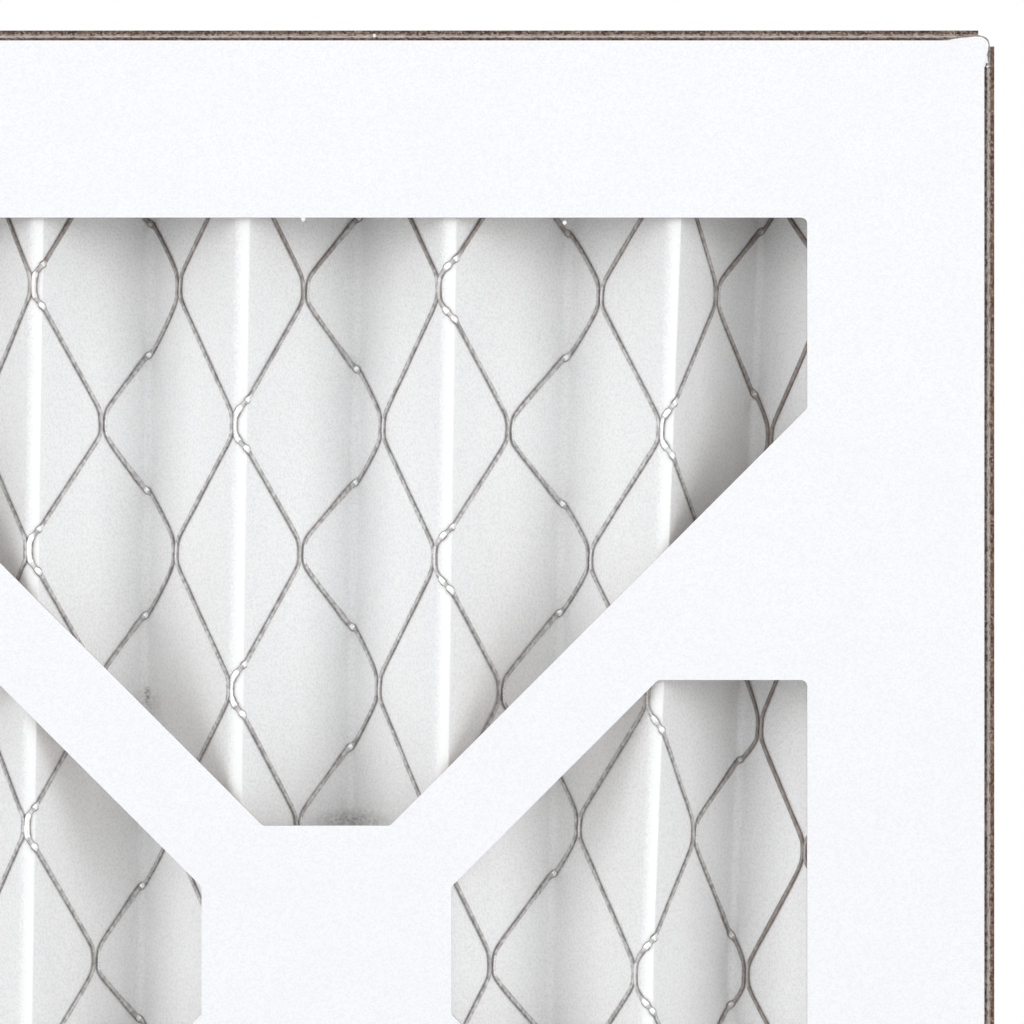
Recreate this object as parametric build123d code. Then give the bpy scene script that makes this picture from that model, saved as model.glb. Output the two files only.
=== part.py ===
"""Pleated panel air filter: two nested paperboard trays hold a pleated media pack with an expanded steel grid.

The filter stands on its lower edge. +X is its width, +Z its height, and it faces -Y, the side the air leaves by.
The origin is at the middle of the bottom. All sizes are in millimetres.
"""
from build123d import *
from math import asin, atan2, cos, dist, floor, hypot, radians, sin, sqrt, tan
import os

# Outside of the finished filter
FILTER_WIDTH = 167.0
FILTER_HEIGHT = 230.0
FILTER_DEPTH = 22.2

# Paperboard trays: the rear one is outside, and the front one nests in it
BOARD = 0.61
TRAY_GAP = 0.2              # glue film between the nested walls
NEST_GAP = 0.1              # from the front tray's free edges to the rear tray's face
EDGE_SETBACK = 0.15         # raw front edges of the outer walls, behind the front face
WALL_END_GAP = 0.6          # from a wall's end to the corner of its tray, at the fold
WALL_TAPER = 2.0            # the same at the wall's free edge
CORNER_RADIUS = 1.0         # corners of the faces, cut away between the ends of the folds
FOLD_RADIUS = 0.35
SCORE_WIDTH = 0.45          # opened cut-score along each fold of the front tray, across its face
SCORE_DEPTH = 0.4
SCORE_END = 3.2             # the score stops this far from each corner
TAB_LENGTH = 14.0           # glue tabs at the ends of the front tray's top and bottom walls
TAB_TAPER = 3.0
TAB_GAP = 0.05

# Die-cut windows, the same in both trays
RIM = 23.4                  # outside edge to window
STRAP_WIDTH = 10.8          # diagonal straps at 45 degrees
HUB_SIZE = 31.2             # square pad where the straps cross
SIDE_WINDOW_HEIGHT = 67.6
WINDOW_RADIUS = 0.8

# Pleated media
MEDIA = 1.6
PLEAT_PITCH = 25.8
PLEAT_RADIUS = 1.8          # at the middle of the media's thickness
CREASES = 4                 # each fold is broken over this many small creases
RIDGE_X = 14.2              # one front ridge at mid height; the others follow from it by the pitch
PACK_TILT = 0.8             # degrees that the pleats lean in the frame, clockwise from the front
TIP_GAP = 0.2               # glue between the pleat tips and the trays
END_GAP = 0.9               # sealant between the pleat ends and the top and bottom walls

# Expanded steel grid on the front of the media
GRID = 0.4
GRID_GAP = 0.05
GRID_INSET = 1.0            # from the grid's sides to the media's at its nearest corner
GRID_END_GAP = 0.1          # from the grid's ends to the sealant
LONG_WAY = 33.7             # pitch of the openings up the filter
SHORT_WAY = 30.6            # pitch across, measured on the flat grid
STRAND = 0.7
BOND_LENGTH = 2.9
BOND_WIDTH = 1.25
GRID_PHASE = -0.9           # a column of bonds, measured along the flat grid from the ridge at RIDGE_X
GRID_BOND_RISE = 82.7       # a bond on that column, above mid height

# Sealant
SIDE_BEAD = 6.0             # how far the beads at the side walls reach beyond the media's side edges, in all
TIP_BEAD = 2.4              # width of the glue along a pleat tip
TIP_BEAD_INSET = 1.0        # from the glue to the edge of a window

# Worked out from the sizes above
MIDDLE_Z = FILTER_HEIGHT / 2
INNER_WIDTH = FILTER_WIDTH - 2 * (BOARD + TRAY_GAP)
INNER_HEIGHT = FILTER_HEIGHT - 2 * (BOARD + TRAY_GAP)
CLEAR_DEPTH = FILTER_DEPTH - 2 * BOARD
TAB_X = INNER_WIDTH / 2 - BOARD - TAB_GAP
PACK_WIDTH = 2 * (TAB_X - BOARD - TAB_GAP)
PACK_HEIGHT = INNER_HEIGHT - 2 * BOARD - 2 * END_GAP
PACK_SWAY = PACK_HEIGHT / 2 * tan(radians(PACK_TILT))      # how far the pleats lean over to each side
HALF_PITCH = PLEAT_PITCH / 2

# Distances in front of the middle of the media
MEDIA_FRONT = MEDIA / 2
GRID_REAR = MEDIA_FRONT + GRID_GAP
GRID_FRONT = GRID_REAR + GRID

# Height of the pleats, and the angle that their legs make with the face
PLEAT_HEIGHT = CLEAR_DEPTH - 2 * TIP_GAP - GRID_FRONT - MEDIA_FRONT
PLEAT_MIDDLE_Y = (GRID_FRONT - MEDIA_FRONT) / 2
FOLD_RISE = PLEAT_HEIGHT - 2 * PLEAT_RADIUS
LEG_ANGLE = atan2(FOLD_RISE, HALF_PITCH) + asin(2 * PLEAT_RADIUS / hypot(FOLD_RISE, HALF_PITCH))

FRONT = "front"
REAR = "rear"
SAME_PLACE = 1e-6           # points nearer than this are one point

# Faces of the trays lie flat in these planes, with their outside down and their walls folded up
FRONT_TRAY_PLANE = Plane(origin=(0, -FILTER_DEPTH / 2, MIDDLE_Z), x_dir=(1, 0, 0), z_dir=(0, 1, 0))
REAR_TRAY_PLANE = Plane(origin=(0, FILTER_DEPTH / 2, MIDDLE_Z), x_dir=(1, 0, 0), z_dir=(0, -1, 0))

# The pleats are worked out upright about the origin and placed with their lean
PACK_PLACE = Pos(0, 0, MIDDLE_Z) * Rot(0, PACK_TILT, 0)


def window_shapes():
    """The four windows in a tray's face, cut between the straps, the hub and the rim."""
    half_width = FILTER_WIDTH / 2 - RIM
    half_height = FILTER_HEIGHT / 2 - RIM
    strap = STRAP_WIDTH / sqrt(2)
    reach = FILTER_WIDTH + FILTER_HEIGHT
    wedge = Polygon((0, strap), (reach, strap + reach), (-reach, strap + reach), align=None)
    hub = HUB_SIZE / 2
    end_window = wedge & Pos(0, (hub + half_height) / 2) * Rectangle(2 * half_width, half_height - hub)
    side_window = wedge & Pos(0, (hub + half_width) / 2) * Rectangle(SIDE_WINDOW_HEIGHT, half_width - hub)
    windows = []
    for shape, turn in ((end_window, 0), (end_window, 180), (side_window, 90), (side_window, -90)):
        windows.append(Rot(0, 0, turn) * fillet(shape.vertices(), WINDOW_RADIUS))
    return windows


def wall(length, reach, depth, end_gap, free_gap, turn):
    """One wall, folded up from a face on z = 0 at reach / 2 from the middle, and turned about the middle."""
    fold_half = length / 2 - end_gap
    free_half = length / 2 - free_gap
    outline = Polygon(
        (-fold_half, FOLD_RADIUS), (fold_half, FOLD_RADIUS), (free_half, depth), (-free_half, depth), align=None
    )
    upright = Plane(origin=(0, -reach / 2, 0), x_dir=(-1, 0, 0), z_dir=(0, 1, 0))
    return Rot(0, 0, turn) * (upright * extrude(outline, BOARD))


def folded_tray(width, height, depth, end_gap, free_gap):
    """A tray with its face on z = 0. The two gaps are those at the ends of its top and bottom walls."""
    face = extrude(RectangleRounded(width, height, CORNER_RADIUS), BOARD)
    tray = fillet(face.edges().group_by(Axis.Z)[0], FOLD_RADIUS)
    for turn in (0, 180):
        tray += wall(width, height, depth, end_gap, free_gap, turn)
        tray += wall(height, width, depth, WALL_END_GAP, WALL_TAPER, turn + 90)
    for window in window_shapes():
        tray -= extrude(window, BOARD)
    return tray


def score_cut(length, reach, turn):
    """The opened score along one fold, which stops short of the corners."""
    groove = Box(length - 2 * SCORE_END, SCORE_WIDTH, SCORE_DEPTH, align=(Align.CENTER, Align.MIN, Align.MIN))
    return Rot(0, 0, turn) * Pos(0, -reach / 2, 0) * groove


def corner_tab(side, end, depth):
    """A glue tab at the end of the top or bottom wall, folded round to lie inside a side wall."""
    start = BOARD + TAB_GAP
    outline = Polygon(
        (0, start), (TAB_LENGTH, start + TAB_TAPER), (TAB_LENGTH, depth - TAB_TAPER), (0, depth), align=None
    )
    upright = Plane(origin=(side * TAB_X, end * INNER_HEIGHT / 2, 0), x_dir=(0, -end, 0), z_dir=(-end, 0, 0))
    return upright * extrude(outline, side * end * BOARD)


def front_frame():
    """Inner tray, one folded sheet: its face is on the front, and its folds are cut-scored."""
    depth = FILTER_DEPTH - BOARD - NEST_GAP
    tab_fold = INNER_WIDTH / 2 - TAB_X
    tray = folded_tray(INNER_WIDTH, INNER_HEIGHT, depth, tab_fold, tab_fold)
    for side in (-1, 1):
        for end in (-1, 1):
            tray += corner_tab(side, end, depth)
    for turn in (0, 180):
        tray -= score_cut(INNER_WIDTH, INNER_HEIGHT, turn)
        tray -= score_cut(INNER_HEIGHT, INNER_WIDTH, turn + 90)
    return FRONT_TRAY_PLANE * tray


def rear_frame():
    """Outer tray, one folded sheet: its face is on the rear, and its walls go outside the front tray's."""
    return REAR_TRAY_PLANE * folded_tray(
        FILTER_WIDTH, FILTER_HEIGHT, FILTER_DEPTH - EDGE_SETBACK, WALL_END_GAP, WALL_TAPER
    )


def fold_x(number):
    """Where a fold of the pleats lies: even numbers are ridges at the front, odd ones valleys at the rear."""
    return RIDGE_X + number * HALF_PITCH


def folds_across(half_width):
    """Numbers of the folds whose tips lie within this distance of the middle of the filter."""
    first = floor((-half_width - RIDGE_X) / HALF_PITCH) + 1
    last = floor((half_width - RIDGE_X) / HALF_PITCH)
    return range(first, last + 1)


def pleat_creases(offset):
    """Creases (x, y), left to right, of a sheet that runs this far in front of the middle of the media."""
    step = 2 * LEG_ANGLE / CREASES
    folds = folds_across(PACK_WIDTH / 2 + PACK_SWAY)
    creases = []
    for number in range(folds[0] - 1, folds[-1] + 2):
        front = 1 if number % 2 == 0 else -1
        corner = (PLEAT_RADIUS + front * offset) / cos(step / 2)
        middle_y = PLEAT_MIDDLE_Y - front * FOLD_RISE / 2
        for crease in range(CREASES):
            angle = (crease + 0.5) * step - LEG_ANGLE
            creases.append((fold_x(number) + corner * sin(angle), middle_y - front * corner * cos(angle)))
    return creases


def between(start, end, share):
    """The row of numbers that is this share of the way from one to another."""
    return tuple(a + (b - a) * share for a, b in zip(start, end))


def across(start, end, x):
    """The same, at a stated x, the first number of each."""
    return between(start, end, (x - start[0]) / (end[0] - start[0]))


def trimmed(creases, low_x, high_x):
    """The stretch of a line of creases, from left to right, between two limits in x."""
    kept = []
    for start, end in zip(creases, creases[1:]):
        if start[0] < low_x < end[0]:
            kept.append(across(start, end, low_x))
        if low_x < end[0] < high_x:
            kept.append(end)
        if start[0] < high_x < end[0]:
            kept.append(across(start, end, high_x))
    return kept


def filter_media():
    """The pleated media, one sheet, with its edges cut square to the frame."""
    section = Polygon(*pleat_creases(MEDIA_FRONT), *reversed(pleat_creases(-MEDIA_FRONT)), align=None)
    pleats = extrude(section, PACK_HEIGHT, both=True)
    return (PACK_PLACE * pleats) & (Pos(0, 0, MIDDLE_Z) * Box(PACK_WIDTH, FILTER_DEPTH, PACK_HEIGHT))


def grid_creases():
    """Creases of the grid, left to right: x, place along the flat grid from RIDGE_X, front point, rear point."""
    creases = []
    flat = 0.0
    for front, rear in zip(pleat_creases(GRID_FRONT), pleat_creases(GRID_REAR)):
        middle = between(front, rear, 0.5)
        if creases:
            flat += dist(middle, last)
        last = middle
        creases.append((middle[0], flat, *front, *rear))
    ridge_flat = next(across(a, b, RIDGE_X)[1] for a, b in zip(creases, creases[1:]) if a[0] < RIDGE_X < b[0])
    measured = [(x, flat - ridge_flat, *points) for x, flat, *points in creases]
    half_width = PACK_WIDTH / 2 - PACK_SWAY - GRID_INSET
    return trimmed(measured, -half_width, half_width)


def grid_opening():
    """One hexagonal opening of the flat grid, between four strands and the bonds at their ends."""
    run = (SHORT_WAY - BOND_WIDTH) / 2
    slope = (LONG_WAY / 2 - BOND_LENGTH) / run
    side = BOND_LENGTH / 2 - STRAND / 2 * hypot(1, slope) + slope * BOND_WIDTH / 4
    tip = side + slope * run
    return Polygon((run, -side), (run, side), (0, tip), (-run, side), (-run, -side), (0, -tip), align=None)


def first_and_last(low, high, start, step):
    """Numbers of the steps from start that reach just past low and just past high."""
    return range(floor((low - start) / step), floor((high - start) / step) + 2)


def end_heights(x):
    """Where the flat grid is cut at its bottom and top, so that both ends lie square to the frame."""
    half_height = PACK_HEIGHT / 2 - GRID_END_GAP
    tilt = radians(PACK_TILT)
    return (x * sin(tilt) - half_height) / cos(tilt), (x * sin(tilt) + half_height) / cos(tilt)


def flat_piece(start, end):
    """The flat grid between two creases: its height less the staggered openings that fall there."""
    start_flat, end_flat = start[1], end[1]
    start_low, start_high = end_heights(start[0])
    end_low, end_high = end_heights(end[0])
    openings = []
    for column in first_and_last(start_flat - SHORT_WAY / 2, end_flat + SHORT_WAY / 2, GRID_PHASE, SHORT_WAY / 2):
        for row in first_and_last(-PACK_HEIGHT / 2, PACK_HEIGHT / 2, GRID_BOND_RISE, LONG_WAY / 2):
            if (column + row) % 2:
                place = Pos(GRID_PHASE + column * SHORT_WAY / 2, GRID_BOND_RISE + row * LONG_WAY / 2)
                openings.append(place * grid_opening())
    corners = (start_flat, start_low), (end_flat, end_low), (end_flat, end_high), (start_flat, start_high)
    return Polygon(*corners, align=None) - openings


def folded_faces(piece, start, end, cut_ends):
    """Both sides and the cut edges of a flat piece, moved to where it lies between two creases of the grid."""

    def place(point, side):
        x, y = between(start[side], end[side], (point.X - start_flat) / (end_flat - start_flat))
        return Vector(x, y, point.Y)

    def line(edge, side):
        return Edge.make_line(place(edge @ 0, side), place(edge @ 1, side))

    start_flat, start = start[1], {FRONT: start[2:4], REAR: start[4:6]}
    end_flat, end = end[1], {FRONT: end[2:4], REAR: end[4:6]}
    folds = [flat for flat in (start_flat, end_flat) if flat not in cut_ends]
    faces = []
    for face in piece.faces():
        for side in (FRONT, REAR):
            faces.append(Face(Wire([line(edge, side) for edge in face.outer_wire().edges()]),
                              [Wire([line(edge, side) for edge in rim.edges()]) for rim in face.inner_wires()]))
        for edge in face.edges():
            on_fold = any(max(abs((edge @ 0).X - flat), abs((edge @ 1).X - flat)) < SAME_PLACE for flat in folds)
            if not on_fold:
                faces.append(Face.make_surface_from_curves(line(edge, FRONT), line(edge, REAR)))
    return faces


def support_grid():
    """The expanded steel grid, one sheet: laid out flat, then folded crease by crease with the media."""
    creases = grid_creases()
    cut_ends = (creases[0][1], creases[-1][1])
    faces = []
    for start, end in zip(creases, creases[1:]):
        faces += folded_faces(flat_piece(start, end), start, end, cut_ends)
    sheet = max(Face.sew_faces(faces), key=len)
    return PACK_PLACE * Solid(Shell(sheet))


def end_seal(end):
    """Sealant between the pleat ends and the top wall (end 1) or the bottom wall (end -1)."""
    slab = Box(PACK_WIDTH, CLEAR_DEPTH - 2 * TIP_GAP, END_GAP)
    return Pos(0, 0, MIDDLE_Z + end * (PACK_HEIGHT + END_GAP) / 2) * slab


def side_seal(side):
    """A bead between the media's side edge and a side wall, from tab to tab."""
    inner_x = PACK_WIDTH / 2
    outer_x = INNER_WIDTH / 2 - BOARD
    edge = trimmed(pleat_creases(0), side * inner_x - PACK_SWAY, side * inner_x + PACK_SWAY)
    front_y = max(min(y for _, y in edge) - SIDE_BEAD / 2, TIP_GAP - CLEAR_DEPTH / 2)
    rear_y = min(max(y for _, y in edge) + SIDE_BEAD / 2, CLEAR_DEPTH / 2 - TIP_GAP)
    bead = Box(outer_x - inner_x, rear_y - front_y, INNER_HEIGHT - 2 * (TAB_LENGTH + TAB_GAP))
    return Pos(side * (inner_x + outer_x) / 2, (front_y + rear_y) / 2, MIDDLE_Z) * bead


def tip_glue(tray_plane, parity):
    """Glue along the pleat tips wherever a tray's face crosses them: parity 0 for ridges, 1 for valleys."""
    board = Rectangle(PACK_WIDTH, PACK_HEIGHT) - [offset(window, TIP_BEAD_INSET) for window in window_shapes()]
    film = tray_plane * Pos(0, 0, BOARD) * extrude(board, TIP_GAP)
    tips = [fold_x(number) for number in folds_across(PACK_WIDTH / 2) if number % 2 == parity]
    lines = Part() + [PACK_PLACE * Pos(x, 0, 0) * Box(TIP_BEAD, FILTER_DEPTH, 2 * PACK_HEIGHT) for x in tips]
    return film & lines


os.makedirs("parts", exist_ok=True)
export_step(front_frame(), "parts/front_frame.step")
export_step(rear_frame(), "parts/rear_frame.step")
export_step(filter_media(), "parts/filter_media.step")
export_step(support_grid(), "parts/support_grid.step")
export_step(end_seal(1), "parts/top_end_seal.step")
export_step(end_seal(-1), "parts/bottom_end_seal.step")
export_step(side_seal(-1), "parts/left_side_seal.step")
export_step(side_seal(1), "parts/right_side_seal.step")
export_step(tip_glue(FRONT_TRAY_PLANE, 0), "parts/front_tip_glue.step")
export_step(tip_glue(REAR_TRAY_PLANE, 1), "parts/rear_tip_glue.step")
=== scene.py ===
import random
from math import atan2, ceil, cos, floor, hypot, pi, radians, sin, tan

import bmesh
import bpy
from mathutils import Matrix, Vector, noise


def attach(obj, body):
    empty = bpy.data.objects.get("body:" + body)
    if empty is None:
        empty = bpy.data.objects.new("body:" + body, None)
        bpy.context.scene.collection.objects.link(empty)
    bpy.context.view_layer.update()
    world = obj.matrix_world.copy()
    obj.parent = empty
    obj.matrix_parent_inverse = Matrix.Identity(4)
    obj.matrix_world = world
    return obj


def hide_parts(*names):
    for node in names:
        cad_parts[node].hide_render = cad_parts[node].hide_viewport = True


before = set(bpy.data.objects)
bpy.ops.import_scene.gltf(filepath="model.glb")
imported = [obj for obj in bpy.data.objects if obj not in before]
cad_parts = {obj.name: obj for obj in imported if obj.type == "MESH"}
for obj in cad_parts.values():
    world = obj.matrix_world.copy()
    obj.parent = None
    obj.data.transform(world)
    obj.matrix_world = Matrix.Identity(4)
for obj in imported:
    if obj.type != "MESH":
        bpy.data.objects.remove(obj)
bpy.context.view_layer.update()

MM = 0.001

# The filter, as its solids have it
WIDTH = 167.0
HEIGHT = 230.0
DEPTH = 22.2
BOARD = 0.61
TRAY_GAP = 0.2
MIDDLE_Z = HEIGHT / 2
FACE_Y = -DEPTH / 2
INNER_HALF_WIDTH = WIDTH / 2 - BOARD - TRAY_GAP
INNER_HALF_HEIGHT = HEIGHT / 2 - BOARD - TRAY_GAP

# Pleats: corners of each surface over one pitch, from a ridge to the next, as (x, y, radius of the bend)
MEDIA_FRONT_CORNERS = ((-0.85, -9.85, 1.7), (0.65, -9.85, 0.25), (12.9, 10.15, 0.8))
MEDIA_REAR_CORNERS = ((0.0, -9.2, 1.0), (12.1, 10.25, 0.3), (13.7, 10.25, 1.2))
PITCH = 25.8
HALF_PITCH = PITCH / 2
RIDGE_X = 14.2
PACK_HALF_WIDTH = 81.37
PACK_HALF_HEIGHT = 112.68
PACK_TILT = radians(0.8)
# How far some folds sit to the right of an even spacing, at mid height and by the top; fold 0 is at RIDGE_X
FOLD_CREEP = {-1: (0.8, 0.9), 1: (1.2, 2.2), 2: (0.4, 2.5), 3: (-1.5, 1.0)}
CREEP_HEIGHT = 90.0
RIPPLE = 0.16                # how far the sheet is uneven, along y
RIPPLE_ACROSS = 0.045        # its waves per millimetre, across the pleats and along them
RIPPLE_ALONG = 0.03

# The media's mesh
BEND_STEPS = 8
LEG_STEP = 2.2               # width of the faces between the bends
HALF_ROWS = 28               # rows of faces above mid height, and as many below
RUN_MARGIN = 8.0             # how far the sheet reaches too far before it is trimmed
RISE_MARGIN = 4.0

# Steel grid
GRID_GAP = 0.05              # from the media to the grid
GRID_HALF = 0.13             # half the grid's thickness
LONG_WAY = 33.9
SHORT_WAY = 30.6
HALF_LONG_WAY = LONG_WAY / 2
HALF_SHORT_WAY = SHORT_WAY / 2
COLUMNS_A_PLEAT = 3          # columns of bonds from a ridge to the next; column 0 lies on a ridge
BOND_LENGTH = 2.9
GRID_PHASE = 0.4             # a column of bonds, measured along the flat grid from the ridge at RIDGE_X
GRID_BOND_RISE = 83.2        # a bond on that column, above mid height
GRID_HALF_WIDTH = 79.0
GRID_OVERHANG = 1.2          # how far the cut ends of the strands reach beyond that
GRID_END_GAP = 0.1
BOND_OFFSET = 0.4            # from a bond's middle to the middle of each of its two strands
RIDGE_BOND_OFFSET = 0.27     # the same for the bonds pressed flat on the ridges
# How far some columns and rows of bonds sit from an even spacing on the flat grid
COLUMN_SHIFT = {-6: -1.7, -5: -2.3, -4: -0.7, -3: -0.9, -2: -2.4, 0: -0.5,
                1: -1.9, 2: 1.0, 3: 1.3, 4: -1.6, 5: -2.2, 6: -3.6}
ROW_SHIFT = {0: -0.3, -1: -0.8, -3: -0.1, -4: -0.4, -5: -1.0}
# Bonds that sit away from their column and row, as (column, row): (run, rise)
BOND_SHIFT = {(4, -6): (1.3, 0.0), (4, -4): (1.2, -0.6), (4, -2): (0.6, 0.0), (5, -5): (1.9, -1.5),
              (5, -3): (2.1, -4.0), (5, -1): (1.3, -0.6), (5, 1): (0.8, -4.0), (6, -4): (-1.1, -2.7),
              (6, 0): (0.0, 1.2)}
BOND_SCATTER = (0.12, 0.35)  # and how far every bond strays by chance, as (run, rise)
COLUMN_SEED = 1009           # a bond's own seed is worked out from these
ROW_SEED = 9176
FIRST_SEED = 5
# How the columns right of the middle lean, in run over rise
COLUMN_LEAN = 0.022
LEAN_FROM_RISE = 55.0
LEAN_LOWEST_RISE = -10.0

# The line of a strand
SOFTENING = 11               # how often it is smoothed
BOW = 0.9                    # how far the strands just right of a valley bow outwards
BOW_PEAK = 27 / 4            # brings the highest value of share ** 2 * (1 - share) to 1
FINE_STEP = 0.3              # between its places near a fold or a corner, and elsewhere
COARSE_STEP = 1.2
NEAR_EDGE = (-3.0, 1.2)      # what counts as near a ridge, measured past its right edge
NEAR_VALLEY = 1.8
NEAR_CORNER = 1.4

# The section of a strand, as shares of RIBBON_HALF and GRID_HALF, and its unevenness as shares of its width
RIBBON_HALF = 0.33           # half a strand's width
SECTION = ((-0.7, 1.0), (0.7, 1.0), (1.0, 0.35), (1.0, -0.6), (0.8, -1.0), (-0.8, -1.0), (-1.0, -0.6),
           (-1.0, 0.35))
FLAT_SIDE = 0
# faces of a strand: its plain flat top, its cut edges darkened with painted shade, and its flat top with a
# painted highlight
FLAT, SHEARED_AND_SHADED, HIGHLIGHT_TOP = range(3)
WIDTH_WANDER = 0.16
WIDTH_WAVES = 0.35           # per millimetre of rise
WIDTH_NOISE_STEP = 7.3       # from one ribbon's noise to the next one's, which keeps them apart
TWIST = 0.18                 # in radians
TWIST_WAVES = 0.12
TWIST_NOISE_STEP = 3.1
TWIST_NOISE_PLACE = 4.0
KNUCKLE_SWELLING = 0.4
VALLEY_SWELLING = 0.35
SWELLING_AHEAD = 1.8         # the strands are widest this far left of a valley
SWELLING_REACH = 2.4
KNUCKLE_HALF = 0.3           # half lengths of the knuckles at a ridge's edges and in a valley
VALLEY_KNUCKLE_HALF = 0.25
RIDGE_FLAT = 1.15            # from a ridge's left edge to its right one, along the grid

# Torn facing at the top right corner: outlines as (x, z), and depths behind the face
TORN_FLAP = ((75.2, 228.5), (77.4, 228.72), (79.0, 229.05), (80.6, 229.25), (81.6, 229.3), (82.4, 229.0),
             (82.8, 228.4), (82.72, 227.4), (82.35, 226.5), (82.4, 225.6), (82.0, 225.0), (81.6, 226.0),
             (81.3, 228.0))
TORN_EDGE = ((76.8, 228.7), (79.0, 229.08), (80.6, 229.27), (81.6, 229.33), (82.45, 229.05), (82.86, 228.4),
             (82.76, 227.4), (82.36, 226.5))
FLAP_DEPTHS = (0.07, 0.17)
CURL_HALF = 0.12
CURL_DEPTH = CURL_HALF + 0.02
CURL_SIDES = 6
CURL_END = 0.6               # its thickness at its ends, as a share of the thickest
CURL_WANDER = 0.35
CURL_WAVES = 2.0
FLECKS = 16
FLECK_SEED = 11
FLECK_X = (82.15, 82.72)
FLECK_DEPTH = (0.12, 0.3)
FLECK_Z = (225.2, 227.1)
FLECK_CORNERS = 5
FLECK_HALF = (0.07, 0.17)
FLECK_REACH = (0.6, 1.3)     # of a corner, as a share of the fleck's half size
FLECK_BEND = (-0.04, 0.04)
FLECK_HALF_THICKNESS = 0.07

# Beads of glue at the front board's edges, as (x, z, half size)
GLUE_BEADS = ((-2.9, 206.5, 0.33), (29.8, 206.0, 0.26), (6.0, 229.35, 0.24))
BEAD_DEPTH = 0.26
BEAD_HALF_DEPTH = 0.24
BEAD_TALLNESS = 1.15
BEAD_WANDER = 0.05
BEAD_WAVES = 3.0

# Line of glue between the nested walls
GLUE_CLEARANCE = 0.01
GLUE_END_GAP = 1.5
GLUE_STEP = 1.5
GLUE_FRONT = 0.42            # from the face to the line's front edge, and how far that edge wanders
GLUE_WANDER = 0.12
GLUE_WAVES = 0.3
GLUE_NOISE_STEP = 5.0
GLUE_DEPTH = 2.0

# Where the board is raw
SCORE_FLOOR = 0.38           # just short of the floor of the opened scores, behind the face
EDGE_MARGIN = 0.4            # how far within an outer side a place no longer belongs to it
WALL_MARGIN = 0.3            # how far within the inner tray's place a side faces the pack
FACE_MARGIN = 0.5            # and how far within the outer faces
EDGE_ON = 0.3                # a side whose normal has less than this along y is a cut edge
FACING = 0.35                # a side whose normal has more than this one way faces that way

# Colours, as (darker, paler) where there are two
# the raw core's browns are darkened with painted shade, for cut edges and opened scores in shadow
KRAFT_CORE_AND_SHADE = ((0.11, 0.068, 0.047), (0.2, 0.135, 0.1))
KRAFT_THREADS = (0.43, 0.34, 0.28)
KRAFT_PITS = (0.04, 0.025, 0.018)
KRAFT_FRAY = (0.6, 0.55, 0.51)
FRAY_REACH = (0.12, 0.25)            # from the middle of the glue line: fully frayed, and no longer
NATURAL_KRAFT = ((0.46, 0.37, 0.28), (0.6, 0.5, 0.4))
COATING = ((0.893, 0.895, 0.912), (0.908, 0.91, 0.926))
COATING_GRAIN = (0.825, 0.829, 0.853)
TORN_PAPER = ((0.9, 0.9, 0.91), (0.97, 0.97, 0.975))
# painted shade: the curled edge is the same paper in a much darker grey
CURLED_PAPER_SHADE = ((0.2, 0.18, 0.17), (0.42, 0.39, 0.37))
MEDIA_TONES = ((0.975, 0.975, 0.976), (0.985, 0.985, 0.985))
MEDIA_DARK_TONE = (0.87, 0.87, 0.873)
# painted highlight: the even pale tone of the ridges' crests
MEDIA_RIDGE_HIGHLIGHT_TONE = (0.965, 0.965, 0.962)
MEDIA_RIDGE_HIGHLIGHT_Y = (-9.55, -9.84)       # from where the media turns to that painted highlight, and where it has it in full
MEDIA_MARK_TONE = (0.14, 0.12, 0.1)
STEEL_FLATS = ((0.42, 0.41, 0.4), (0.76, 0.75, 0.74))
# cut edges: dull steel, darkened further with painted shade
STEEL_CUT_EDGES_AND_SHADE = ((0.24, 0.22, 0.21), (0.46, 0.44, 0.43))
# painted highlight at the strands' folds and along the bonds
STEEL_HIGHLIGHT_TONES = ((0.88, 0.88, 0.88), (0.97, 0.97, 0.97))
STEEL_BROWN = (0.2, 0.14, 0.11)
BROWN_SHARE = 0.6
BROWN_FROM_Z = (188.0, 207.0)        # the strands turn brown over these heights and these places across
BROWN_FROM_X = (46.0, 56.0)
SEALANT = ((0.78, 0.74, 0.65), (0.86, 0.83, 0.76))
GLUE_AND_FIBRE = ((0.42, 0.37, 0.34), (0.74, 0.7, 0.67))
GLUE_BEAD = ((0.86, 0.86, 0.85), (0.95, 0.95, 0.94))
FLOOR_TONES = ((0.86, 0.86, 0.86), (0.875, 0.875, 0.875))

# Darker spots on the media: a small dark mark, a wider faint darkening around it and a longer darker patch
# lower down, as (x, z, half width, half height, depth)
MEDIA_MARKS = ((-23.7, 146.2, 0.5, 1.4, 1.0), (-23.4, 145.0, 2.4, 2.8, 0.3), (2.6, 130.2, 6.0, 1.9, 0.6))

# Studio
CAMERA_X = 23.2
CAMERA_Z = 169.8
CAMERA_DISTANCE = 708.0
PICTURE_WIDTH = 128.0
SENSOR = 36.0
WHITE = (1, 1, 1, 1)
AMBIENT = 0.64
AMBIENT_COLOUR = (0.97, 0.985, 1, 1)
FLOOR_HALF = 3.0             # in metres
FLOOR_BEHIND = 1.0           # how far it runs behind the filter: its far edge lies below the picture
AIM = (0, 0, 0.12)           # in metres, where the softboxes point
# Softboxes, as (name, place in metres, size in metres, power in watts)
SOFTBOXES = (
    ("left_softbox", (-1.45, -1.45, 0.45), 1.2, 11.6),
    ("right_softbox", (1.45, -1.45, 0.45), 1.2, 10.6),
    ("front_softbox", (0.05, -2.2, 0.5), 0.9, 5.0),
    ("rear_left_softbox", (-1.2, 1.6, 0.45), 1.2, 6.5),
    ("rear_right_softbox", (1.2, 1.6, 0.45), 1.2, 6.5),
)


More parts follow.
